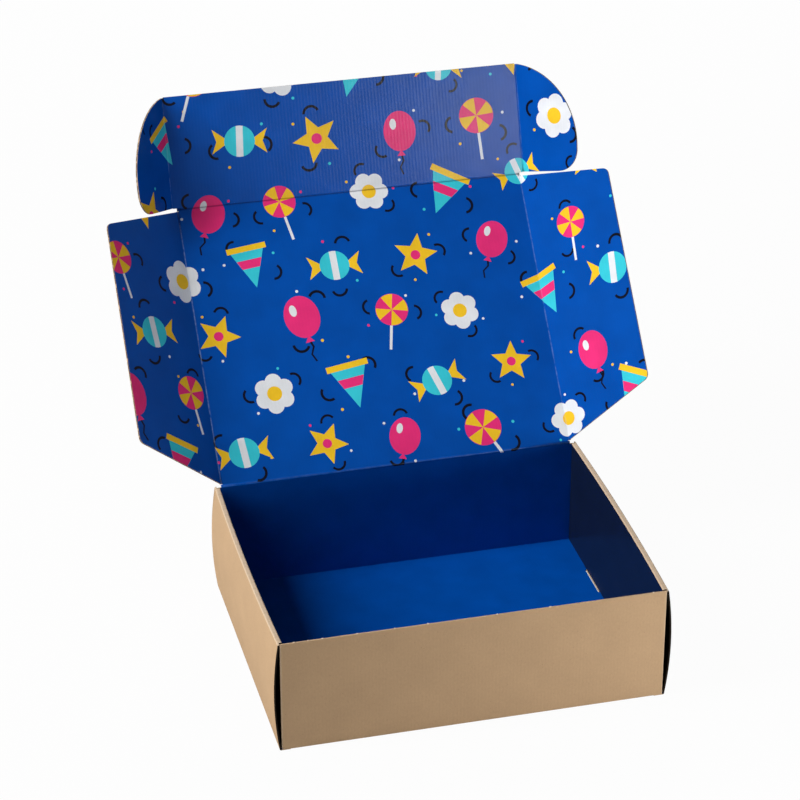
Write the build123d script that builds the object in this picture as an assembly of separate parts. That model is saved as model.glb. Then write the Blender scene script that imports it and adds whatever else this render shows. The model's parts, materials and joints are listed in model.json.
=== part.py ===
"""Roll-end mailer box of thin corrugated board, standing with its lid thrown back.

Millimetres, +Z up. The origin is the middle of the tray's underside, +X is to the right of
someone facing the front wall, and +Y runs towards the lid's hinge.
"""
import os
from math import cos, radians, sin

from build123d import *

# Board
board = 1.1             # thickness of the corrugated board
layer_gap = 0.15        # play between layers that lie against each other
fold_radius_share = 0.9  # outside rounding of a folded corner, of the board
turning_gap = 0.3       # play between the round bead of a fold and the flap that turns on it
overrun = 5.0           # how far a cutting block reaches past what it cuts

# Tray
tray_width = 264.0      # over the outer side panels, at their folds
tray_depth = 208.0
tray_height = 82.0
side_bow = 3.2          # how far an outer side panel bellies out at half height
corner_flap = 70.0      # length of the flaps folded into the side walls
corner_flap_round = 8.0
inner_end_gap = 1.5     # from an inner side panel's ends to the front and back walls
tab_length = 30.0       # locking tabs of the inner side panels, in slots of the base
tab_place = 43.5        # from the middle of the depth to the middle of a tab
tab_recess = 0.2        # from a tab's foot up to the underside
slot_slit = 0.7         # open slit beside a tab
slot_end_play = 0.5

# Lid and its flaps
lid_length = 204.8      # from the hinge line to the tuck flap's fold
lid_side_play = 0.35    # from a folded wing to the inner side panel
wing_reach = 72.4
wing_rear_slant = 26.8  # how far a wing's outer edge stands back from its hinge end
wing_front_slant = 17.4
wing_fold_notch = 1.6   # from a wing's ends to the hinge line and the tuck flap's fold
wing_round = 5.0
tuck_reach = 80.8
tuck_overhang = 3.5     # from the lid's wing folds out to the ears' folds
ear_reach = 48.5
ear_foot_play = 1.3     # from an ear's foot to the tuck flap's fold line
ear_arc_radius = 57.0
ear_foot_round = 17.0

# Fold angles, in degrees from the flat sheet and, for the lid, from closed
lid_angle = 132.9
tuck_angle = 23.1
left_wing_angle = 37.3
right_wing_angle = 45.2
left_ear_angle = 54.0
right_ear_angle = 50.0

# Sizes that follow
bead = board / 2
fold_radius = fold_radius_share * board
side_wall = 3 * board + 2 * layer_gap
inside_width = tray_width - 2 * side_wall
end_wall_width = tray_width - 2 * (board + layer_gap)
lid_half_width = inside_width / 2 - lid_side_play - bead
turning_edge = bead + turning_gap


def plate(outline):
    """A sheet of board whose middle plane holds the outline."""
    return extrude(outline, amount=bead, both=True)


def rod(start, end):
    """The round bead along a fold, from one point of the flat sheet to another."""
    start, end = Vector(*start), Vector(*end)
    return extrude(Plane(origin=start, z_dir=end - start) * Circle(bead), amount=(end - start).length)


def side_section():
    """Section of the right side wall: base strip, bowed outer panel, roll-over top and inner panel."""
    out = tray_width / 2
    into = out - side_wall
    strip = into - side_wall
    middle = tray_height / 2
    under_top = tray_height - board
    with BuildSketch(Plane.XZ) as section:
        with BuildLine():
            Line((strip, 0), (out, 0))
            ThreePointArc((out, 0), (out + side_bow, middle), (out, tray_height))
            Polyline(
                (out, tray_height),
                (into, tray_height),
                (into, board + layer_gap),
                (into + board, board + layer_gap),
                (into + board, under_top),
                (out - board, under_top),
            )
            ThreePointArc((out - board, under_top), (out - board + side_bow, middle), (out - board, board))
            Polyline((out - board, board), (strip, board), (strip, 0))
        make_face()
        outside = [
            v for v in section.vertices()
            if (abs(v.X - out) < layer_gap or abs(v.X - into) < layer_gap)
            and (abs(v.Z) < layer_gap or abs(v.Z - tray_height) < layer_gap)
        ]
        fillet(outside, fold_radius)
    return section.sketch


def side():
    """The right side wall, rolled over its corner flaps."""
    full = tray_depth - 2 * layer_gap
    wall = extrude(side_section(), amount=full / 2, both=True)
    into = tray_width / 2 - side_wall
    clear_of_flap = into + side_wall - board - layer_gap / 2
    inner_length = tray_depth - 2 * (board + inner_end_gap)
    end_cut = Box(
        clear_of_flap - into + overrun, overrun, tray_height + overrun,
        align=(Align.MAX, Align.MIN, Align.MIN),
    )
    for end in (inner_length / 2, -inner_length / 2 - overrun):
        wall -= Pos(clear_of_flap, end, board + layer_gap / 2) * end_cut
    return wall


def end_wall():
    """The front wall, with the corner flaps that are folded back from its ends into the side walls."""
    front = -tray_depth / 2
    wall = extrude(
        Plane.XY * Pos(0, front + board / 2) * Rectangle(end_wall_width, board), amount=tray_height
    )
    flap_low = board + 2 * layer_gap
    flap_high = tray_height - board - 2 * layer_gap
    for way in (-1, 1):
        flap = Pos(way * (end_wall_width - board) / 2, front, flap_low) * Box(
            board, corner_flap, flap_high - flap_low, align=(Align.CENTER, Align.MIN, Align.MIN)
        )
        far = flap.faces().sort_by(Axis.Y)[-1]
        flap = fillet(far.edges().filter_by(Axis.X), corner_flap_round)
        wall += flap
    corners = wall.edges().filter_by(Axis.Z).filter_by(lambda e: abs(e.center().Y - front) < layer_gap)
    return fillet(corners, fold_radius)


def locks():
    """(slots, tabs) on the right: the slots in the base and the inner panel's tabs that stand in them."""
    into = inside_width / 2
    slot = Box(
        slot_slit + board + layer_gap, tab_length + 2 * slot_end_play, board + overrun,
        align=(Align.MIN, Align.CENTER, Align.MAX),
    )
    tab = Box(
        board, tab_length, board + layer_gap + bead - tab_recess,
        align=(Align.MIN, Align.CENTER, Align.MIN),
    )
    places = (-tab_place, tab_place)
    slots = [Pos(into - slot_slit, place, board + layer_gap / 2) * slot for place in places]
    tabs = [Pos(into, place, tab_recess) * tab for place in places]
    return slots, tabs


def tray():
    """Base, walls, roll-over sides and corner flaps: one folded sheet."""
    floor = Box(end_wall_width, tray_depth, board, align=(Align.CENTER, Align.CENTER, Align.MIN))
    front = end_wall()
    body = floor + front + mirror(front, about=Plane.XZ)
    foot_folds = body.edges().filter_by(Axis.X).filter_by(
        lambda e: abs(e.center().Z) < layer_gap and abs(e.center().Y) > tray_depth / 2 - layer_gap
    )
    body = fillet(foot_folds, fold_radius)
    hinge_end = end_wall_width / 2 - fold_radius
    hinge_depth = tray_depth / 2 - bead
    body += rod((-hinge_end, hinge_depth, tray_height), (hinge_end, hinge_depth, tray_height))
    right = side()
    body = body + right + mirror(right, about=Plane.YZ)
    slots, tabs = locks()
    for slot in slots:
        body = body - slot - mirror(slot, about=Plane.YZ)
    for tab in tabs:
        body = body + tab + mirror(tab, about=Plane.YZ)
    return body


def lid_panel():
    """The lid, flat: hinge edge at the hinge line, beads along the wing folds and the tuck fold."""
    panel = plate(
        Pos(0, (turning_edge + lid_length) / 2) * Rectangle(2 * lid_half_width, lid_length - turning_edge)
    )
    panel += rod((-lid_half_width, lid_length, 0), (lid_half_width, lid_length, 0))
    for way in (-1, 1):
        panel += rod((way * lid_half_width, turning_edge, 0), (way * lid_half_width, lid_length, 0))
    return panel


def wing():
    """A lid side flap, flat: its fold along Y at x = 0, reaching towards +X."""
    near, far = wing_fold_notch, lid_length - wing_fold_notch
    outline = make_face(
        Polyline(
            (turning_edge, near),
            (wing_reach, near + wing_rear_slant),
            (wing_reach, far - wing_front_slant),
            (turning_edge, far),
            close=True,
        )
    )
    corners = outline.vertices().sort_by(Axis.X)[-2:]
    return plate(fillet(corners, wing_round))


def tuck_flap():
    """The tuck flap, flat: its fold along X at y = 0, with a bead along each ear's fold."""
    half = lid_half_width + tuck_overhang
    flap = plate(Pos(0, (turning_edge + tuck_reach) / 2) * Rectangle(2 * half, tuck_reach - turning_edge))
    for way in (-1, 1):
        flap += rod((way * half, turning_edge, 0), (way * half, tuck_reach, 0))
    return flap


def ear():
    """A rounded ear, flat: its fold along Y at x = 0, reaching towards +X."""
    top = tuck_reach - bead
    crown = (ear_reach, ear_foot_play + ear_foot_round)
    with BuildSketch() as outline:
        with BuildLine():
            Line((turning_edge, ear_foot_play), (ear_reach - ear_foot_round, ear_foot_play))
            TangentArc(
                (ear_reach - ear_foot_round, ear_foot_play), crown, tangent=(1, 0)
            )
            RadiusArc(crown, (turning_edge, top), -ear_arc_radius)
            Line((turning_edge, top), (turning_edge, ear_foot_play))
        make_face()
    return plate(outline.sketch)


def folded(x_along, y_along, origin):
    """The place of a flat piece whose own X and Y run along the given directions."""
    return Plane(origin=origin, x_dir=x_along, z_dir=x_along.cross(y_along)).location


across = Vector(1, 0, 0)
lid_turn = radians(lid_angle)
lid_along = Vector(0, -cos(lid_turn), sin(lid_turn))
lid_inside = across.cross(lid_along)
hinge_point = Vector(0, tray_depth / 2 - bead, tray_height)

tuck_turn = radians(tuck_angle)
tuck_along = lid_along * cos(tuck_turn) + lid_inside * sin(tuck_turn)
tuck_inside = across.cross(tuck_along)
tuck_point = hinge_point + lid_along * lid_length


def side_flap(shape, way, angle, along, inside, point, half):
    """A wing or an ear on the left (way -1) or the right (way 1), folded inwards by its angle."""
    turn = radians(angle)
    outwards = across * (way * cos(turn)) + inside * sin(turn)
    start = point + across * (way * half)
    return folded(outwards, along, start) * shape


wing_on_lid = (lid_along, lid_inside, hinge_point, lid_half_width)
ear_on_tuck = (tuck_along, tuck_inside, tuck_point, lid_half_width + tuck_overhang)
nodes = {
    "tray": tray(),
    "lid_panel": folded(across, lid_along, hinge_point) * lid_panel(),
    "left_wing": side_flap(wing(), -1, left_wing_angle, *wing_on_lid),
    "right_wing": side_flap(wing(), 1, right_wing_angle, *wing_on_lid),
    "tuck_flap": folded(across, tuck_along, tuck_point) * tuck_flap(),
    "left_ear": side_flap(ear(), -1, left_ear_angle, *ear_on_tuck),
    "right_ear": side_flap(ear(), 1, right_ear_angle, *ear_on_tuck),
}

os.makedirs("parts", exist_ok=True)
for name, shape in nodes.items():
    export_step(shape, f"parts/{name}.step")
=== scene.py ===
"""Mailer box with its lid thrown back: printed sheets, folds, kraft tray, studio and camera.

Metres, in the frame of the model. The lid, its flaps and the folds between them are laid out on one flat
sheet, printed there, and folded into place, so that the print runs on across every fold.
"""
import json
import math
import random

import bmesh
import bpy
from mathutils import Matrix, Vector
from mathutils.geometry import delaunay_2d_cdt


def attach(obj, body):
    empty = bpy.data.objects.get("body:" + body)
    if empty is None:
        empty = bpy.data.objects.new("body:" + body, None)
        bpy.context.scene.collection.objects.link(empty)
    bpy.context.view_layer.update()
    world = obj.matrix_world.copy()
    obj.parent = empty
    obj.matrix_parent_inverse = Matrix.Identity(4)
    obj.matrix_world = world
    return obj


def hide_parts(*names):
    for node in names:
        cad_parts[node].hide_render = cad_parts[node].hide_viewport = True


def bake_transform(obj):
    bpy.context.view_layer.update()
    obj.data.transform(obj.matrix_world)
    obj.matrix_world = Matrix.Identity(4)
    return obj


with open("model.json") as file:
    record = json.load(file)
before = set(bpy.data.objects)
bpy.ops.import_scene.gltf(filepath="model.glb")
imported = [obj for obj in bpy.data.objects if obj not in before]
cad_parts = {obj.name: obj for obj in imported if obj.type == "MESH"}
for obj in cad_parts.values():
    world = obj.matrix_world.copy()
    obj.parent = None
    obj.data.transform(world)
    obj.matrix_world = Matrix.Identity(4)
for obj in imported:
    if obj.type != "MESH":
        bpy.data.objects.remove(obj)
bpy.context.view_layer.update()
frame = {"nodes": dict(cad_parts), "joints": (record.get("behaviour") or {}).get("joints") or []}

MM = 0.001
BOARD = 1.1 * MM
HALF_BOARD = BOARD / 2
FOLD_HALF = 1.1 * MM        # half the width of the bent strip along a fold
FLUTE_PITCH = 2.4 * MM      # distance from one flute of the board to the next

# What the frame gives: fold lines, directions and angles
JOINTS = {j["name"]: j for j in frame["joints"]}
ACROSS = Vector((1, 0, 0))
UP = Vector((0, 0, 1))
HINGE = Vector(JOINTS["lid_hinge"]["pos_m"])
TUCK_LINE = Vector(JOINTS["tuck_fold"]["pos_m"])
LID_ALONG = Vector(JOINTS["left_wing_fold"]["axis"])
LID_INSIDE = ACROSS.cross(LID_ALONG)
TUCK_ALONG = Vector(JOINTS["left_ear_fold"]["axis"])
TUCK_INSIDE = ACROSS.cross(TUCK_ALONG)
LID_LENGTH = (TUCK_LINE - HINGE).length
LID_HALF = JOINTS["right_wing_fold"]["pos_m"][0]
EAR_HALF = JOINTS["right_ear_fold"]["pos_m"][0]
TRAY_HEIGHT = HINGE.z

# Outlines of the flaps on the flat sheet
WING_REACH = 72.4 * MM
WING_REAR_SLANT = 26.8 * MM
WING_FRONT_SLANT = 17.4 * MM
WING_NOTCH = 1.6 * MM
WING_ROUND = 5.0 * MM
TUCK_REACH = 80.8 * MM
EAR_REACH = 48.5 * MM
EAR_FOOT = 1.3 * MM
EAR_ARC = 57.0 * MM
EAR_FOOT_ROUND = 17.0 * MM

# Tray
TRAY_HALF_WIDTH = 132.0 * MM
TRAY_HALF_DEPTH = 104.0 * MM
SIDE_WALL = 3.6 * MM        # three layers of board and their play
INSIDE_HALF = TRAY_HALF_WIDTH - SIDE_WALL
END_WALL_HALF = TRAY_HALF_WIDTH - 1.25 * MM
FOLD_RADIUS = 0.99 * MM
SIDE_BOW = 3.2 * MM         # how far an outer side panel stands out at half height
RIM_BELLY = 1.9 * MM        # how far a side wall's top stands out halfway along
BELLY_STEPS = 12
HAIR = 0.05 * MM            # what two places of the tray may differ by and still be the same
THIN = 0.3 * MM             # what a face may lie off the surface that it belongs to
SHARP_FOLD = math.radians(30)   # an edge of the tray that turns more than this is drawn sharp
LEVEL_NORMAL = 0.9999           # a face of the tray this square to an axis is a flat panel

# Inks and papers, as linear colours
INKS = {
    "blue": (0.0006, 0.076, 0.402),
    "pink": (0.86, 0.035, 0.2),
    "yellow": (0.95, 0.58, 0.025),
    "turquoise": (0.045, 0.6, 0.7),
    "white": (0.82, 0.84, 0.86),
    "black": (0.004, 0.005, 0.012),
}
INK_ORDER = list(INKS)
NAVY = (0.0055, 0.011, 0.032)
KRAFT = (0.485, 0.324, 0.188)
KRAFT_FLECK = (0.22, 0.125, 0.065)
KRAFT_PALE = (0.64, 0.5, 0.36)
WORN_INK = (0.3, 0.42, 0.7)
# Painted shade for a fold's groove, multiplied into the ink where the crease is below 0
CREASE_SHADE = (0.3, 0.3, 0.35)
TORN = (0.78, 0.7, 0.58)
# Painted shade: a near-black for the open flutes on a cut edge and for the gaps inside the side walls
HOLLOW_SHADE = (0.012, 0.008, 0.005)
LINER = 0.14 * MM

# Finishes: roughness, specular level, depth of the relief, and noise scales per metre
INK_ROUGHNESS = 0.2
INK_SPECULAR = 0.045
INK_RELIEF = 0.06 * MM
INK_CLOUDS = 45.0
INK_GRAIN = 2600.0
RUB_PATCHES = 110.0
KRAFT_ROUGHNESS = 0.82
KRAFT_SPECULAR = 0.12
KRAFT_RELIEF = 0.09 * MM
KRAFT_CLOUDS = 30.0
FIBRES = (760.0, 460.0, 760.0)
FLECKS = (1100.0, 700.0, 1100.0)
EDGE_ROUGHNESS = 0.9
EDGE_RELIEF = 0.2 * MM
EDGE_FIBRES = 1800.0
CRUSHED_SPOTS = 260.0
TORN_ROUGHNESS = 0.95
TORN_FIBRES = 2500.0


# Node helpers

class Tree:
    """A material's node tree, with short ways to add nodes."""

    def __init__(self, name, roughness):
        self.material = bpy.data.materials.new(name)
        self.material.use_nodes = True
        self.nodes = self.material.node_tree.nodes
        self.shader = self.nodes["Principled BSDF"]
        self.shader.inputs["Roughness"].default_value = roughness

    def link(self, source, socket):
        self.material.node_tree.links.new(source, socket)

    def set(self, socket, value):
        if isinstance(value, bpy.types.NodeSocket):
            self.link(value, socket)
        else:
            socket.default_value = value

    def math(self, operation, a, b=0.0, clamp=False):
        node = self.nodes.new("ShaderNodeMath")
        node.operation = operation
        node.use_clamp = clamp
        self.set(node.inputs[0], a)
        self.set(node.inputs[1], b)
        return node.outputs[0]

    def mix(self, share, a, b, blend="MIX"):
        node = self.nodes.new("ShaderNodeMix")
        node.data_type = "RGBA"
        node.blend_type = blend
        self.set(node.inputs["Factor"], share)
        for socket, value in (("A", a), ("B", b)):
            colour = [i for i in node.inputs if i.name == socket and i.type == "RGBA"][0]
            self.set(colour, value if isinstance(value, bpy.types.NodeSocket) else (*value, 1))
        return [o for o in node.outputs if o.type == "RGBA"][0]

    def noise(self, vector, scale, detail=2.0, roughness=0.5):
        node = self.nodes.new("ShaderNodeTexNoise")
        self.link(vector, node.inputs["Vector"])
        node.inputs["Scale"].default_value = scale
        node.inputs["Detail"].default_value = detail
        node.inputs["Roughness"].default_value = roughness
        return node.outputs["Fac"]

    def between(self, value, low, high):
        node = self.nodes.new("ShaderNodeMapRange")
        self.set(node.inputs["Value"], value)
        node.inputs["From Min"].default_value = low
        node.inputs["From Max"].default_value = high
        return node.outputs["Result"]

    def stretched(self, vector, scale):
        node = self.nodes.new("ShaderNodeMapping")
        self.link(vector, node.inputs["Vector"])
        node.inputs["Scale"].default_value = scale
        return node.outputs["Vector"]

    def sheet(self):
        """Place on the flat sheet, from the piece's own map."""
        node = self.nodes.new("ShaderNodeUVMap")
        node.uv_map = "sheet"
        return node.outputs["UV"]

    def attribute(self, name):
        node = self.nodes.new("ShaderNodeAttribute")
        node.attribute_name = name
        return node.outputs["Fac"]

    def across_flutes(self, vector):
        split = self.nodes.new("ShaderNodeSeparateXYZ")
        self.link(vector, split.inputs[0])
        return split.outputs["X"]

    def flute_wave(self, vector):
        """-1 to 1 across the flutes."""
        turns = 2 * math.pi / FLUTE_PITCH
        return self.math("SINE", self.math("MULTIPLY", self.across_flutes(vector), turns))

    def scaled(self, colour, share):
        """One colour, made lighter or darker by a share."""
        node = self.nodes.new("ShaderNodeVectorMath")
        node.operation = "SCALE"
        node.inputs[0].default_value = colour
        self.link(share, node.inputs["Scale"])
        return node.outputs[0]

    def bump(self, height, distance, strength=1.0):
        node = self.nodes.new("ShaderNodeBump")
        node.inputs["Strength"].default_value = strength
        node.inputs["Distance"].default_value = distance
        self.link(height, node.inputs["Height"])
        self.link(node.outputs["Normal"], self.shader.inputs["Normal"])


def ink_material(name, colour, worn=WORN_INK):
    """Satin ink on paper: a little uneven, ribbed by the flutes under it.

    Where the crease is above 0 it is rubbed pale; where it is below 0 it gets painted shade.
    """
    t = Tree(name, INK_ROUGHNESS)
    at = t.sheet()
    cloud = t.noise(at, INK_CLOUDS, 3.0)
    grain = t.noise(at, INK_GRAIN, 2.0)
    wave = t.flute_wave(at)
    shade = t.math("ADD", t.math("MULTIPLY", t.between(cloud, 0.3, 0.7), 0.16), 0.88)
    shade = t.math("ADD", shade, t.math("MULTIPLY", t.math("SUBTRACT", grain, 0.5), 0.16))
    shade = t.math("ADD", shade, t.math("MULTIPLY", wave, 0.008))
    patches = t.between(t.noise(at, RUB_PATCHES, 4.0, 0.7), 0.38, 0.62)
    rubbed = t.math("MULTIPLY", t.attribute("crease"), patches, clamp=True)
    # below 0 the crease is painted shade along the fold
    crease_shade_share = t.math("MULTIPLY", t.attribute("crease"), -1.0, clamp=True)
    crease_shaded = t.mix(crease_shade_share, t.scaled(colour, shade), CREASE_SHADE, "MULTIPLY")
    t.link(t.mix(t.math("MULTIPLY", rubbed, 0.8), crease_shaded, worn), t.shader.inputs["Base Color"])
    t.shader.inputs["Specular IOR Level"].default_value = INK_SPECULAR
    height = t.math("ADD", t.math("MULTIPLY", wave, 0.12), t.math("MULTIPLY", grain, 0.35))
    height = t.math("ADD", height, t.math("MULTIPLY", cloud, 2.0))
    t.bump(height, INK_RELIEF)
    return t.material


def kraft_material(name):
    """Unbleached kraft liner: clouded brown, fine fibres, dark flecks and faint flute lines."""
    t = Tree(name, KRAFT_ROUGHNESS)
    at = t.sheet()
    cloud = t.noise(at, KRAFT_CLOUDS, 4.0, 0.6)
    fibres = t.noise(t.stretched(at, FIBRES), 1.0, 4.0, 0.7)
    flecks = t.between(t.noise(t.stretched(at, FLECKS), 1.0, 1.0), 0.7, 0.8)
    wave = t.flute_wave(at)
    shade = t.math("ADD", t.math("MULTIPLY", cloud, 0.2), 0.9)
    shade = t.math("ADD", shade, t.math("MULTIPLY", t.math("SUBTRACT", fibres, 0.5), 0.24))
    shade = t.math("ADD", shade, t.math("MULTIPLY", wave, 0.004))
    marked = t.mix(t.math("MULTIPLY", flecks, 0.45), t.scaled(KRAFT, shade), KRAFT_FLECK)
    rubbed = t.math("MULTIPLY", t.attribute("crease"), t.between(fibres, 0.1, 0.5), clamp=True)
    t.link(t.mix(t.math("MULTIPLY", rubbed, 0.85), marked, KRAFT_PALE), t.shader.inputs["Base Color"])
    t.shader.inputs["Specular IOR Level"].default_value = KRAFT_SPECULAR
    height = t.math("ADD", t.math("MULTIPLY", fibres, 0.6), t.math("MULTIPLY", wave, 0.06))
    t.bump(height, KRAFT_RELIEF)
    return t.material


def cut_edge_material(name):
    """The board's section on a cut edge: two liners, the waved medium between them, and painted shade in
    the hollows.
    """
    t = Tree(name, EDGE_ROUGHNESS)
    at = t.sheet()
    depth = t.attribute("depth")
    wave = t.math("MULTIPLY", t.flute_wave(at), HALF_BOARD - 1.5 * LINER)
    medium = t.math("LESS_THAN", t.math("ABSOLUTE", t.math("SUBTRACT", depth, wave)), LINER)
    liner = t.math("GREATER_THAN", t.math("ABSOLUTE", depth), HALF_BOARD - LINER)
    paper = t.math("MAXIMUM", medium, liner)
    fibres = t.noise(at, EDGE_FIBRES, 3.0)
    crushed = t.between(t.noise(at, CRUSHED_SPOTS, 2.0), 0.52, 0.62)
    paper = t.math("MAXIMUM", paper, t.math("MULTIPLY", crushed, 0.75))
    tone = t.mix(fibres, KRAFT, KRAFT_PALE)
    # the hollows between the paper get painted shade, not the board's kraft
    t.link(t.mix(paper, HOLLOW_SHADE, tone), t.shader.inputs["Base Color"])
    t.bump(t.math("ADD", paper, fibres), EDGE_RELIEF, 0.6)
    return t.material


INK_MATERIALS = [ink_material(f"{ink}_ink", colour) for ink, colour in INKS.items()]
KRAFT_LINER = kraft_material("kraft_liner")
NAVY_INK = ink_material("navy_flood_on_kraft", NAVY, KRAFT)
CUT_EDGE = cut_edge_material("cut_board_edge")
# Painted shade: a near-black sheet for the faces in a side wall's gap and the side panels' cut ends, which
# stand in shadow
PAINTED_WALL_SHADE = ink_material("paper_inside_a_wall", HOLLOW_SHADE, HOLLOW_SHADE)
SHEET_MATERIALS = INK_MATERIALS + [KRAFT_LINER, CUT_EDGE, NAVY_INK, PAINTED_WALL_SHADE]
KRAFT_SLOT = SHEET_MATERIALS.index(KRAFT_LINER)
EDGE_SLOT = SHEET_MATERIALS.index(CUT_EDGE)
NAVY_SLOT = SHEET_MATERIALS.index(NAVY_INK)
SHADOW_SLOT = SHEET_MATERIALS.index(PAINTED_WALL_SHADE)
BLUE_SLOT = INK_ORDER.index("blue")


# Print: a scatter of plain party shapes on the flat sheet, each a list of (outline, ink)

def oval(x, y, across, along, steps=28):
    turn = 2 * math.pi / steps
    return [(x + across * math.cos(turn * i), y + along * math.sin(turn * i)) for i in range(steps)]


def star_outline(points, outer, inner):
    turn = math.pi / points
    reach = [outer if i % 2 == 0 else inner for i in range(2 * points)]
    return [(r * math.sin(turn * i), r * math.cos(turn * i)) for i, r in enumerate(reach)]


def bar(x, y, length, width, angle):
    c, s = math.cos(angle), math.sin(angle)
    corners = ((-length, -width), (length, -width), (length, width), (-length, width))
    return [(x + (u * c - v * s) / 2, y + (u * s + v * c) / 2) for u, v in corners]


def balloon():
    string = [(0.05, -1.0), (0.12, -1.3), (-0.06, -1.6), (0.06, -1.95),
              (-0.02, -1.95), (-0.14, -1.6), (0.03, -1.3), (-0.05, -1.0)]
    knot = [(0, -0.78), (0.2, -1.06), (-0.2, -1.06)]
    return [(string[::-1], "black"), (knot[::-1], "pink"), (oval(0, 0.1, 0.78, 0.95), "pink"),
            (oval(-0.3, 0.45, 0.16, 0.26, 14), "white")]


def star():
    return [(star_outline(5, 1.1, 0.5)[::-1], "yellow"), (oval(0, 0, 0.24, 0.24, 16), "pink")]


def sweet():
    right_twist = [(0.45, 0), (1.25, -0.55), (1.05, 0), (1.25, 0.55)]
    left_twist = [(-x, -y) for x, y in right_twist]
    ball = oval(0, 0, 0.7, 0.7)
    band = [(x, y) for x, y in ball if abs(x) < 0.3]
    return [(right_twist, "yellow"), (left_twist, "yellow"), (ball, "turquoise"), (band, "white")]


def pennant():
    flag = [(-0.85, 0.85), (0, -1.1), (0.85, 0.85)]
    stripe = [(-0.6, 0.3), (-0.42, -0.12), (0.42, -0.12), (0.6, 0.3)]
    hem = [(-0.95, 0.72), (0.95, 0.72), (0.95, 1.0), (-0.95, 1.0)]
    return [(flag, "turquoise"), (stripe, "pink"), (hem, "yellow")]


def blossom():
    petals = [(oval(0.58 * math.cos(a), 0.58 * math.sin(a), 0.4, 0.4, 18), "white")
              for a in (i * math.pi / 3 for i in range(6))]
    return petals + [(oval(0, 0, 0.36, 0.36, 18), "yellow")]


def lolly():
    sectors = []
    for i in range(4):
        turns = [i * math.pi / 2 + math.pi / 4 * k / 6 for k in range(7)]
        rim = [(0.78 * math.cos(a), 0.3 + 0.78 * math.sin(a)) for a in turns]
        sectors.append(([(0, 0.3)] + rim, "yellow"))
    return [(bar(0, -0.95, 1.5, 0.13, math.pi / 2), "white"), (oval(0, 0.3, 0.8, 0.8), "pink")] + sectors


def streamer(x, y, radius, width, start, sweep, steps=9):
    """A curved stroke: part of a ring."""
    turns = [start + sweep * k / steps for k in range(steps + 1)]
    outer, inner = ([(x + r * math.cos(a), y + r * math.sin(a)) for a in turns]
                    for r in (radius + width / 2, radius - width / 2))
    return outer + inner[::-1]


STREAMER_OFF = 1.12         # from a shape's middle, in shape sizes
SPECK_OFF = 1.25
SPECK_INKS = ("white", "yellow", "turquoise", "pink")


def trimmings(pick):
    """Black streamers and specks of confetti flung out around a shape."""
    marks = []
    first = pick.uniform(0, 2 * math.pi)
    for i, spread in enumerate((0.0, 2.6)):
        angle = first + spread
        x, y = STREAMER_OFF * math.cos(angle), STREAMER_OFF * math.sin(angle)
        marks.append((streamer(x, y, 0.34, 0.12, angle - 1.3 + 0.5 * i, 2.7), "black"))
        speck = angle + 0.8
        ink = SPECK_INKS[pick.randrange(len(SPECK_INKS))]
        marks.append((oval(SPECK_OFF * math.cos(speck), SPECK_OFF * math.sin(speck), 0.07, 0.07, 8), ink))
    return marks


SHAPES = (balloon, star, sweet, pennant, blossom, lolly)
SHAPE_SIZE = 15.5 * MM
ROW_STEP = 46.0 * MM
COLUMN_STEP = 59.0 * MM
FIRST_ROW = 17.0 * MM
PRINT_SEED = 11


def printed_shapes():
    """Every printed outline on the flat sheet, lowest first, with its ink."""
    pick = random.Random(PRINT_SEED)
    shapes = []
    rows = int((LID_LENGTH + TUCK_REACH) / ROW_STEP) + 1
    columns = int((LID_HALF + WING_REACH) / COLUMN_STEP) + 1
    for row in range(rows):
        for column in range(-columns, columns + 1):
            x = (column + 0.5 * (row % 2) + 0.17) * COLUMN_STEP + pick.uniform(-5, 5) * MM
            y = FIRST_ROW + row * ROW_STEP + pick.uniform(-6, 6) * MM
            kind = SHAPES[(row * 2 + column * 5 + row // 2) % len(SHAPES)]
            size = SHAPE_SIZE * pick.uniform(0.9, 1.08)
            angle = pick.uniform(-0.5, 0.5)
            c, s = size * math.cos(angle), size * math.sin(angle)
            for outline, ink in trimmings(pick) + kind():
                shapes.append(([(x + u * c - v * s, y + u * s + v * c) for u, v in outline], ink))
    return shapes


PRINT = printed_shapes()


# Sheets

class Fold:
    """A fold line: its place, the flat directions across, along and to the inside, and its angle."""

    def __init__(self, origin, across, along, inside, degrees):
        self.origin, self.across, self.along, self.inside = origin, across, along, inside
        self.angle = math.radians(degrees)

    def at(self, over, along, depth, share):
        """A point past the fold line by over, turned by a share of the fold's angle."""
        c, s = math.cos(self.angle * share), math.sin(self.angle * share)
        across = self.across * c + self.inside * s
        inside = self.inside * c - self.across * s
        return self.origin + self.along * along + across * over + inside * depth


def rest_angle(joint):
    """A flap lies flat at its joint's low limit, so that limit is how far it is folded at rest."""
    return -JOINTS[joint]["range_deg"][0]


HINGE_FOLD = Fold(HINGE, UP, ACROSS, ACROSS.cross(UP), -math.degrees(UP.angle(LID_ALONG)))
TUCK_FOLD = Fold(TUCK_LINE, LID_ALONG, ACROSS, LID_INSIDE, rest_angle("tuck_fold"))
WING_FOLDS = {
    way: Fold(HINGE + ACROSS * way * LID_HALF, ACROSS * way, LID_ALONG, LID_INSIDE,
              rest_angle(f"{side}_wing_fold"))
    for way, side in ((-1, "left"), (1, "right"))
}
EAR_FOLDS = {
    way: Fold(TUCK_LINE + ACROSS * way * EAR_HALF, ACROSS * way, TUCK_ALONG, TUCK_INSIDE,
              rest_angle(f"{side}_ear_fold"))
    for way, side in ((-1, "left"), (1, "right"))
}


def eased(share):
    share = min(max(share, 0.0), 1.0)
    return share * share * (3 - 2 * share)


def bend(over):
    """Share of a fold's angle at a distance over the fold line, within the strip."""
    return eased((over + FOLD_HALF) / (2 * FOLD_HALF))


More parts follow.
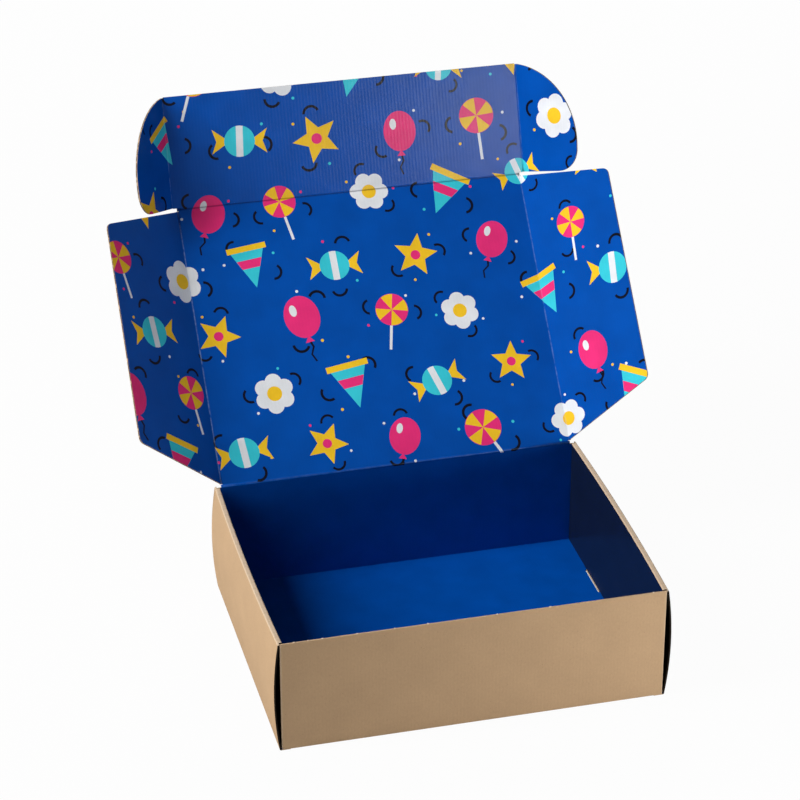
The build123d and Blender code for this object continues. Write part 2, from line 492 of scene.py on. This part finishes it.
def rounded(corners, radii, steps=8):
    """A closed outline with some corners rounded by arcs."""
    points = []
    for i, (corner, radius) in enumerate(zip(corners, radii)):
        here = Vector(corner)
        back, ahead = Vector(corners[i - 1]) - here, Vector(corners[(i + 1) % len(corners)]) - here
        if radius == 0:
            points.append(tuple(here))
            continue
        half = back.angle(ahead) / 2
        centre = here + (back.normalized() + ahead.normalized()).normalized() * (radius / math.sin(half))
        run = radius / math.tan(half)
        start, end = here + back.normalized() * run - centre, here + ahead.normalized() * run - centre
        turn = start.angle_signed(end)
        for k in range(steps + 1):
            a = -turn * k / steps
            points.append((centre.x + start.x * math.cos(a) - start.y * math.sin(a),
                           centre.y + start.x * math.sin(a) + start.y * math.cos(a)))
    return points


def cut_out(outline, lines):
    """Splits an outline along the print and the given lines, all flat: (points, triangles, inks)."""
    points, faces, edges = list(outline), [list(range(len(outline)))], []
    low_x, high_x = min(p[0] for p in outline), max(p[0] for p in outline)
    low_y, high_y = min(p[1] for p in outline), max(p[1] for p in outline)
    inks = [BLUE_SLOT]
    for shape, ink in PRINT:
        xs, ys = [p[0] for p in shape], [p[1] for p in shape]
        if max(xs) > low_x and min(xs) < high_x and max(ys) > low_y and min(ys) < high_y:
            faces.append(list(range(len(points), len(points) + len(shape))))
            points.extend(shape)
            inks.append(INK_ORDER.index(ink))
    for start, end in lines:
        edges.append((len(points), len(points) + 1))
        points.extend((start, end))
    vectors = [Vector(p) / MM for p in points]
    found, _, triangles, _, _, owners = delaunay_2d_cdt(vectors, edges, faces, 1, 1e-5)
    kept = [(tri, inks[max(own)]) for tri, own in zip(triangles, owners) if 0 in own]
    return [p * MM for p in found], [k[0] for k in kept], [k[1] for k in kept]


def sheet(name, outline, place, crease=None, lines=()):
    """A sheet of board: printed inside, kraft outside, cut edges all round. place(x, y, depth) folds it."""
    flat, triangles, inks = cut_out(outline, lines)
    used = sorted({i for tri in triangles for i in tri})
    index = {old: new for new, old in enumerate(used)}
    flat = [flat[i] for i in used]
    triangles = [[index[i] for i in tri] for tri in triangles]
    count = len(flat)
    vertices = [place(p.x, p.y, depth) for depth in (HALF_BOARD, -HALF_BOARD) for p in flat]
    ring = {(tri[i - 1], tri[i]) for tri in triangles for i in range(3)}
    rim = [edge for edge in ring if edge[::-1] not in ring]
    faces = list(triangles)
    faces += [[i + count for i in reversed(tri)] for tri in triangles]
    faces += [[a, a + count, b + count, b] for a, b in sorted(rim)]
    mesh = bpy.data.meshes.new(name)
    mesh.from_pydata(vertices, [], faces)
    for material in SHEET_MATERIALS:
        mesh.materials.append(material)
    slots = inks + [KRAFT_SLOT] * len(triangles) + [EDGE_SLOT] * len(rim)
    mesh.polygons.foreach_set("material_index", slots)
    places = mesh.uv_layers.new(name="sheet")
    for loop in mesh.loops:
        p = flat[loop.vertex_index % count]
        places.data[loop.index].uv = (p.x, p.y)
    depth = mesh.attributes.new("depth", "FLOAT", "POINT")
    depth.data.foreach_set("value", [HALF_BOARD] * count + [-HALF_BOARD] * count)
    worn = mesh.attributes.new("crease", "FLOAT", "POINT")
    worn.data.foreach_set("value", [crease(p.x, p.y) if crease else 0.0 for p in flat] * 2)
    mesh.update()
    piece = bpy.data.objects.new(name, mesh)
    bpy.context.scene.collection.objects.link(piece)
    return piece


def box_outline(x0, y0, x1, y1):
    return [(x0, y0), (x1, y0), (x1, y1), (x0, y1)]


def mirrored(outline, way):
    """The outline on the left for way -1, still counter-clockwise."""
    return outline if way > 0 else [(-x, y) for x, y in reversed(outline)]


def panel(name, node, body, outline, place):
    piece = sheet(name, outline, place)
    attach(piece, body)
    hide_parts(node)


def lid():
    half = LID_HALF - FOLD_HALF
    outline = box_outline(-half, FOLD_HALF, half, LID_LENGTH - FOLD_HALF)
    panel("lid_board", "lid_panel", "lid", outline,
          lambda x, y, d: HINGE + ACROSS * x + LID_ALONG * y + LID_INSIDE * d)


def tuck():
    half = EAR_HALF - FOLD_HALF
    outline = box_outline(-half, LID_LENGTH + FOLD_HALF, half, LID_LENGTH + TUCK_REACH)
    panel("tuck_board", "tuck_flap", "tuck", outline,
          lambda x, y, d: TUCK_LINE + ACROSS * x + TUCK_ALONG * (y - LID_LENGTH) + TUCK_INSIDE * d)


def wing(side, way):
    fold = WING_FOLDS[way]
    near, far = WING_NOTCH, LID_LENGTH - WING_NOTCH
    start = LID_HALF + FOLD_HALF
    rise = WING_REAR_SLANT * FOLD_HALF / WING_REACH
    fall = WING_FRONT_SLANT * FOLD_HALF / WING_REACH
    outer = LID_HALF + WING_REACH
    corners = [(start, near + rise), (outer, near + WING_REAR_SLANT), (outer, far - WING_FRONT_SLANT),
               (start, far - fall)]
    outline = mirrored(rounded(corners, (0, WING_ROUND, WING_ROUND, 0)), way)
    panel(f"{side}_wing_board", f"{side}_wing", f"{side}_wing", outline,
          lambda x, y, d: fold.at(way * x - LID_HALF, y, d, 1.0))


EAR_ARC_STEPS = 24
EAR_FOOT_STEPS = 10


def ear_outline():
    """Foot, small foot round and the large arc up to the tuck flap's top corner."""
    top = TUCK_REACH - HALF_BOARD
    crown = Vector((EAR_REACH, EAR_FOOT + EAR_FOOT_ROUND))
    end = Vector((FOLD_HALF, top))
    chord = end - crown
    off = math.sqrt(EAR_ARC ** 2 - (chord.length / 2) ** 2)
    centre = crown + chord / 2 + Vector((-chord.y, chord.x)).normalized() * off
    first = math.atan2(crown.y - centre.y, crown.x - centre.x)
    last = math.atan2(end.y - centre.y, end.x - centre.x)
    turns = [first + (last - first) * k / EAR_ARC_STEPS for k in range(EAR_ARC_STEPS + 1)]
    arc = [(centre.x + EAR_ARC * math.cos(a), centre.y + EAR_ARC * math.sin(a)) for a in turns]
    turns = [math.pi / 2 * k / EAR_FOOT_STEPS for k in range(EAR_FOOT_STEPS)]
    foot = [(EAR_REACH - EAR_FOOT_ROUND + EAR_FOOT_ROUND * math.sin(a),
             EAR_FOOT + EAR_FOOT_ROUND - EAR_FOOT_ROUND * math.cos(a)) for a in turns]
    flat = [(FOLD_HALF, EAR_FOOT)] + foot + arc
    return [(EAR_HALF + x, LID_LENGTH + y) for x, y in flat]


def ear(side, way):
    fold = EAR_FOLDS[way]
    panel(f"{side}_ear_board", f"{side}_ear", f"{side}_ear", mirrored(ear_outline(), way),
          lambda x, y, d: fold.at(way * x - EAR_HALF, y - LID_LENGTH, d, 1.0))


STRIP_LINES = (-0.6, -0.3, 0.0, 0.3, 0.6)   # where a strip is cut to bend, in half widths
CREASE_HALF = 0.8 * FOLD_HALF
HINGE_WEAR = 0.15           # wear above 0 is rubbed pale; below 0 it is painted shade along the fold
# the tuck fold gets painted shade: a dark band standing in for its groove's shadow
TUCK_FOLD_SHADE = -1.0
EAR_WEAR = 0.3
WING_WEAR = {-1: 1.0, 1: 0.4}


def strip(name, fold, outline, over, along, lines, wear_and_shade):
    """The bent strip along a fold, rubbed pale above 0 and darkened by painted shade below 0."""
    piece = sheet(
        name, outline,
        lambda x, y, d: fold.at(over(x, y), along(x, y), d, bend(over(x, y))),
        lambda x, y: wear_and_shade * max(0.0, 1 - abs(over(x, y)) / CREASE_HALF),
        lines,
    )
    for polygon in piece.data.polygons:
        polygon.use_smooth = polygon.material_index != EDGE_SLOT
    before = fold.at(-FOLD_HALF, 0, 0, 0.0)
    after = fold.at(FOLD_HALF, 0, 0, 1.0)
    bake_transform(piece)


def crosswise_fold(name, fold, line, wear_and_shade):
    """The strip of a fold that runs across the sheet, at a distance from the hinge line."""
    outline = box_outline(-LID_HALF, line - FOLD_HALF, LID_HALF, line + FOLD_HALF)
    levels = [line + FOLD_HALF * k for k in STRIP_LINES]
    lines = [((-LID_HALF, y), (LID_HALF, y)) for y in levels]
    strip(name, fold, outline, lambda x, y: y - line, lambda x, y: x, lines, wear_and_shade)


def lengthwise_fold(name, fold, way, line, low, high, start, wear_and_shade):
    """The strip of a wing's or an ear's fold, from low to high; its fold line begins at start."""
    outline = mirrored(box_outline(line - FOLD_HALF, low, line + FOLD_HALF, high), way)
    places = [way * (line + FOLD_HALF * k) for k in STRIP_LINES]
    lines = [((x, low), (x, high)) for x in places]
    strip(name, fold, outline, lambda x, y: way * x - line, lambda x, y: y - start, lines, wear_and_shade)


def folds():
    crosswise_fold("hinge_fold", HINGE_FOLD, 0.0, HINGE_WEAR)
    crosswise_fold("tuck_fold_strip", TUCK_FOLD, LID_LENGTH, TUCK_FOLD_SHADE)
    for side, way in (("left", -1), ("right", 1)):
        lengthwise_fold(f"{side}_wing_fold_strip", WING_FOLDS[way], way, LID_HALF,
                        WING_NOTCH, LID_LENGTH - WING_NOTCH, 0.0, WING_WEAR[way])
        lengthwise_fold(f"{side}_ear_fold_strip", EAR_FOLDS[way], way, EAR_HALF,
                        LID_LENGTH + EAR_FOOT, LID_LENGTH + TUCK_REACH - HALF_BOARD, LID_LENGTH, EAR_WEAR)


# Tray

def bow(z):
    """How far an outer side panel stands out at a height."""
    return SIDE_BOW * (1 - (2 * z / TRAY_HEIGHT - 1) ** 2)


def tray_slot(c, n):
    """The finish of a face of the tray, from its middle and its normal; faces inside a side wall get
    painted shade.
    """
    ax, ay = abs(c.x), abs(c.y)
    outwards_x, outwards_y = n.x * math.copysign(1, c.x), n.y * math.copysign(1, c.y)
    underside = c.z < FOLD_RADIUS and n.z < -0.2
    at_end = ay > TRAY_HALF_DEPTH - FOLD_RADIUS and ax < END_WALL_HALF + THIN
    end_outside = at_end and outwards_y > 0.05 and c.z < TRAY_HEIGHT
    side_outside = ax > TRAY_HALF_WIDTH + bow(c.z) - 0.5 * BOARD - THIN and outwards_x > 0.2
    at_rim = c.z > TRAY_HEIGHT - FOLD_RADIUS and ax > INSIDE_HALF - THIN
    rim_top = at_rim and n.z > 0.2 and ay < TRAY_HALF_DEPTH - BOARD
    if underside or end_outside or side_outside or rim_top:
        return KRAFT_SLOT
    if abs(ax - INSIDE_HALF) < THIN and outwards_x < -0.5 and c.z > BOARD:
        return NAVY_SLOT
    if n.z > 0.5 and c.z < BOARD + THIN:
        return BLUE_SLOT
    if outwards_y < -0.5 and abs(ay - TRAY_HALF_DEPTH + BOARD) < THIN:
        return BLUE_SLOT
    if n.z > 0.5 and c.z > TRAY_HEIGHT - THIN:
        return KRAFT_SLOT
    # faces between a side wall's layers and the side panels' cut ends: painted shade in place of the
    # board's own blue and kraft
    if ax > INSIDE_HALF:
        return SHADOW_SLOT
    return EDGE_SLOT


RIM_CREASE = 1.0
CORNER_CREASE = 0.6


def on_side(p):
    """Whether a point of the tray is in a side wall."""
    return abs(p.x) > INSIDE_HALF - 2 * HAIR


def tray_crease(p):
    """How far a point of the tray lies in the rubbed paper of a fold, 0 to 1."""
    ax, ay = abs(p.x), abs(p.y)
    in_end_wall = ay > TRAY_HALF_DEPTH - BOARD - HAIR and ax < END_WALL_HALF + HAIR
    rim = on_side(p) and not in_end_wall and p.z > TRAY_HEIGHT - 0.6 * FOLD_RADIUS
    turns_in = END_WALL_HALF - 0.8 * FOLD_RADIUS < ax < END_WALL_HALF - 0.1 * FOLD_RADIUS
    corner = turns_in and ay > TRAY_HALF_DEPTH - 0.8 * FOLD_RADIUS
    return RIM_CREASE if rim else CORNER_CREASE if corner else 0.0


def split(bm, place, normal):
    """Adds the edges in which a plane meets the mesh."""
    everything = bm.verts[:] + bm.edges[:] + bm.faces[:]
    bmesh.ops.bisect_plane(bm, geom=everything, plane_co=place, plane_no=normal)


def seat_hinge(bm):
    """Cuts the back wall off where the hinge's bent strip begins."""
    seat = TRAY_HEIGHT - FOLD_HALF
    split(bm, (0, 0, seat), (0, 0, 1))
    top = []
    for f in bm.faces:
        c = f.calc_center_median()
        if c.z > seat and c.y > TRAY_HALF_DEPTH - BOARD - HAIR and abs(c.x) < END_WALL_HALF + HAIR:
            top.append(f)
    bmesh.ops.delete(bm, geom=top, context="FACES")
    bmesh.ops.holes_fill(bm, edges=[e for e in bm.edges if e.is_boundary])
    bmesh.ops.dissolve_limit(bm, angle_limit=0.002, verts=bm.verts, edges=bm.edges)


def cut_along_sides(bm):
    """Cuts the tray across, so that its side walls can stand out between their corners."""
    step = 2 * TRAY_HALF_DEPTH / BELLY_STEPS
    for i in range(1, BELLY_STEPS):
        split(bm, (0, i * step - TRAY_HALF_DEPTH, 0), (0, 1, 0))
    bmesh.ops.triangulate(bm, faces=[f for f in bm.faces if len(f.verts) > 4])
    bmesh.ops.dissolve_degenerate(bm, dist=0.001 * MM, edges=bm.edges)
    bm.normal_update()


def belly_sides(bm):
    """Stands the side walls out between their corners, most at the top."""
    for v in bm.verts:
        if on_side(v.co):
            out = RIM_BELLY * (1 - (v.co.y / TRAY_HALF_DEPTH) ** 2) * v.co.z / TRAY_HEIGHT
            v.co.x += math.copysign(out, v.co.x)


def finish_faces(bm):
    """Gives the tray's faces their finish and map, and its points their depth and crease."""
    places = bm.loops.layers.uv.new("sheet")
    depth = bm.verts.layers.float.new("depth")
    crease = bm.verts.layers.float.new("crease")
    for v in bm.verts:
        ax = abs(v.co.x)
        if ax > END_WALL_HALF:
            outside = ax > TRAY_HALF_WIDTH + bow(v.co.z) - 0.5 * BOARD
        else:
            outside = abs(v.co.y) > TRAY_HALF_DEPTH - 0.5 * BOARD
        v[depth] = -HALF_BOARD if outside else HALF_BOARD
        v[crease] = tray_crease(v.co)
    for f in bm.faces:
        centre = f.calc_center_median()
        f.material_index = tray_slot(centre, f.normal)
        f.smooth = True
        side = abs(f.normal.x) > 0.7 or (abs(centre.x) > INSIDE_HALF and centre.z > BOARD)
        upright = abs(f.normal.y) > 0.7
        for loop in f.loops:
            p = loop.vert.co
            loop[places].uv = (p.z, p.y) if side else (p.x, p.z if upright else p.y)
    for e in bm.edges:
        level = [max(abs(f.normal.y), abs(f.normal.z)) > LEVEL_NORMAL for f in e.link_faces]
        e.smooth = len(level) == 2 and level[0] == level[1] and e.calc_face_angle() < SHARP_FOLD


def tray():
    """The CAD tray's own form, with the back wall cut off where the hinge's bent strip begins."""
    mesh = frame["nodes"]["tray"].data.copy()
    mesh.name = "tray_board"
    if mesh.has_custom_normals:
        mesh.attributes.remove(mesh.attributes["custom_normal"])
    mesh.materials.clear()
    for material in SHEET_MATERIALS:
        mesh.materials.append(material)
    bm = bmesh.new()
    bm.from_mesh(mesh)
    bmesh.ops.remove_doubles(bm, verts=bm.verts, dist=0.001 * MM)
    seat_hinge(bm)
    cut_along_sides(bm)
    finish_faces(bm)
    belly_sides(bm)
    bm.to_mesh(mesh)
    bm.free()
    piece = bpy.data.objects.new("tray_board", mesh)
    bpy.context.scene.collection.objects.link(piece)
    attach(piece, "tray")
    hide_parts("tray")


NICK_PLACES = (-121.3, -111.9, -102.5, -79.6, -54.6, -32.4, 14.2, 50.5, 121.3)  # along the front edge, mm
NICK_SIZE = 0.5 * MM
NICK_SEED = 4
TUFT_LEAST = (0.9, 0.7, 0.5)    # a tuft's smallest and largest stretch
TUFT_MOST = (1.9, 1.0, 1.0)
TUFT_ROUGHNESS = 0.25 * MM
TUFT_NOISE = 3000.0


def torn_paper():
    t = Tree("torn_paper", TORN_ROUGHNESS)
    place = t.nodes.new("ShaderNodeTexCoord").outputs["Object"]
    t.link(t.mix(t.noise(place, TORN_FIBRES), KRAFT_PALE, TORN), t.shader.inputs["Base Color"])
    return t.material


def nick_tree():
    """Sets a torn tuft on every point, stretched at random and roughened."""
    tree = bpy.data.node_groups.new("nicks", "GeometryNodeTree")
    face = tree.interface
    face.new_socket("Places", in_out="INPUT", socket_type="NodeSocketGeometry")
    size = face.new_socket("Tuft size", in_out="INPUT", socket_type="NodeSocketFloat")
    seed = face.new_socket("Seed", in_out="INPUT", socket_type="NodeSocketInt")
    face.new_socket("Tufts", in_out="OUTPUT", socket_type="NodeSocketGeometry")
    kinds = dict(given="NodeGroupInput", tuft="GeometryNodeMeshIcoSphere", scale="FunctionNodeRandomValue",
                 spread="GeometryNodeInstanceOnPoints", real="GeometryNodeRealizeInstances",
                 noise="ShaderNodeTexNoise", shift="ShaderNodeVectorMath", rough="GeometryNodeSetPosition",
                 dress="GeometryNodeSetMaterial", result="NodeGroupOutput")
    n = {name: tree.nodes.new(kind) for name, kind in kinds.items()}
    n["tuft"].inputs["Subdivisions"].default_value = 2
    n["scale"].data_type = "FLOAT_VECTOR"
    n["scale"].inputs["Min"].default_value = TUFT_LEAST
    n["scale"].inputs["Max"].default_value = TUFT_MOST
    n["noise"].inputs["Scale"].default_value = TUFT_NOISE
    n["shift"].operation = "SCALE"
    n["shift"].inputs["Scale"].default_value = TUFT_ROUGHNESS
    n["dress"].inputs["Material"].default_value = torn_paper()
    for source, out, target, into in (
        ("given", "Tuft size", "tuft", "Radius"), ("given", "Places", "spread", "Points"),
        ("given", "Seed", "scale", "Seed"), ("tuft", "Mesh", "spread", "Instance"),
        ("scale", "Value", "spread", "Scale"), ("spread", "Instances", "real", "Geometry"),
        ("real", "Geometry", "rough", "Geometry"), ("noise", "Color", "shift", "Vector"),
        ("shift", "Vector", "rough", "Offset"), ("rough", "Geometry", "dress", "Geometry"),
        ("dress", "Geometry", "result", "Tufts"),
    ):
        tree.links.new(n[source].outputs[out], n[target].inputs[into])
    return tree, size.identifier, seed.identifier


def nicks():
    """Tufts left along the front wall's top edge where the blank was broken out of its sheet."""
    mesh = bpy.data.meshes.new("nick_places")
    depth = -TRAY_HALF_DEPTH + HALF_BOARD
    mesh.from_pydata([(x * MM, depth, TRAY_HEIGHT) for x in NICK_PLACES], [], [])
    points = bpy.data.objects.new("nick_places", mesh)
    bpy.context.scene.collection.objects.link(points)
    tree, size, seed = nick_tree()
    modifier = points.modifiers.new("nicks", "NODES")
    modifier.node_group = tree
    modifier[size] = NICK_SIZE
    modifier[seed] = NICK_SEED
    depsgraph = bpy.context.evaluated_depsgraph_get()
    tufts = bpy.data.meshes.new_from_object(points.evaluated_get(depsgraph))
    points.modifiers.remove(modifier)
    bpy.data.objects.remove(points)
    piece = bpy.data.objects.new("front_edge_nicks", tufts)
    bpy.context.scene.collection.objects.link(piece)
    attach(piece, "tray")


# Studio and camera

FLOOR_REACH = 6.0
FLOOR_GREY = (0.5, 0.5, 0.5, 1)
FLOOR_WHITE_SHARE = 0.965   # of the floor as it is seen; the rest takes the object's shadow
SOFT_SKY = (0.95, 0.97, 1.0, 1)
SOFT_STRENGTH = 0.1
SHEEN = "sheen_softbox"
# Name, place, what it is aimed at, size and watts; the sheen lamp alone shows in gloss
LAMPS = (
    ("left_softbox", (-1.58, -0.08, 1.4), (0, 0, 0.15), (0.6, 1.4), 52.0),
    (SHEEN, (0.71, -1.66, 0.82), (0, 0.27, 0.27), (0.28, 0.22), 14.5),
    ("back_softbox", (0.5, 1.9, 0.7), (0, 0.1, 0.15), (0.9, 0.9), 22.0),
    ("low_fill", (0.3, -0.44, 0.07), (0.04, -0.1, 0.03), (0.24, 0.1), 1.23),
)


def seen_share(tree):
    """1 for a ray from the camera, in gloss or through glass; 0 for a ray that lights the object."""
    path = tree.nodes.new("ShaderNodeLightPath")
    share = path.outputs["Is Camera Ray"]
    for ray in ("Is Glossy Ray", "Is Transmission Ray"):
        larger = tree.nodes.new("ShaderNodeMath")
        larger.operation = "MAXIMUM"
        tree.links.new(share, larger.inputs[0])
        tree.links.new(path.outputs[ray], larger.inputs[1])
        share = larger.outputs[0]
    return share


def white_where_seen(tree, share, plain, white, surface):
    """Shows the white shader by a share, and the plain one for the rest."""
    blend = tree.nodes.new("ShaderNodeMixShader")
    tree.links.new(share, blend.inputs[0])
    tree.links.new(plain.outputs[0], blend.inputs[1])
    tree.links.new(white.outputs[0], blend.inputs[2])
    tree.links.new(blend.outputs[0], surface)


def floor():
    far = FLOOR_REACH
    mesh = bpy.data.meshes.new("floor")
    mesh.from_pydata([(-far, -far, 0), (far, -far, 0), (far, far, 0), (-far, far, 0)], [], [(0, 1, 2, 3)])
    plane = bpy.data.objects.new("floor", mesh)
    bpy.context.scene.collection.objects.link(plane)
    paper = Tree("pale_floor", EDGE_ROUGHNESS)
    paper.shader.inputs["Base Color"].default_value = FLOOR_GREY
    white = paper.nodes.new("ShaderNodeEmission")
    tree = paper.material.node_tree
    share = paper.math("MULTIPLY", seen_share(tree), FLOOR_WHITE_SHARE)
    white_where_seen(tree, share, paper.shader, white, paper.nodes["Material Output"].inputs["Surface"])
    mesh.materials.append(paper.material)


def sky():
    world = bpy.data.worlds.new("studio")
    bpy.context.scene.world = world
    world.use_nodes = True
    tree = world.node_tree
    soft, white = tree.nodes["Background"], tree.nodes.new("ShaderNodeBackground")
    soft.inputs["Color"].default_value = SOFT_SKY
    soft.inputs["Strength"].default_value = SOFT_STRENGTH
    white.inputs["Color"].default_value = (1, 1, 1, 1)
    white.inputs["Strength"].default_value = 1.0
    white_where_seen(tree, seen_share(tree), soft, white, tree.nodes["World Output"].inputs["Surface"])


def lamps():
    for name, place, target, size, watts in LAMPS:
        light = bpy.data.lights.new(name, "AREA")
        light.shape = "RECTANGLE"
        light.size, light.size_y = size
        light.energy = watts
        lamp = bpy.data.objects.new(name, light)
        lamp.location = place
        lamp.visible_glossy = name == SHEEN
        lamp.visible_diffuse = name != SHEEN
        lamp.rotation_euler = (Vector(target) - Vector(place)).to_track_quat("-Z", "Y").to_euler()
        bpy.context.scene.collection.objects.link(lamp)


CAMERA_AZIMUTH = -14.3
CAMERA_ELEVATION = 28.56
CAMERA_DISTANCE = 1.9624
CAMERA_TARGET = Vector((-0.02466, 0, 0.19156))
CAMERA_LENS = 133.8
CAMERA_SENSOR = 36.0


def camera():
    azimuth, elevation = math.radians(CAMERA_AZIMUTH), math.radians(CAMERA_ELEVATION)
    back = Vector((math.sin(azimuth) * math.cos(elevation), -math.cos(azimuth) * math.cos(elevation),
                   math.sin(elevation)))
    data = bpy.data.cameras.new("camera")
    data.lens = CAMERA_LENS
    data.sensor_width = CAMERA_SENSOR
    eye = bpy.data.objects.new("camera", data)
    eye.location = CAMERA_TARGET + back * CAMERA_DISTANCE
    eye.rotation_euler = (-back).to_track_quat("-Z", "Y").to_euler()
    bpy.context.scene.collection.objects.link(eye)
    bpy.context.scene.camera = eye


tray()
nicks()
lid()
tuck()
for side, way in (("left", -1), ("right", 1)):
    wing(side, way)
    ear(side, way)
folds()
floor()
sky()
lamps()
camera()
bpy.context.scene.view_settings.view_transform = "Standard"
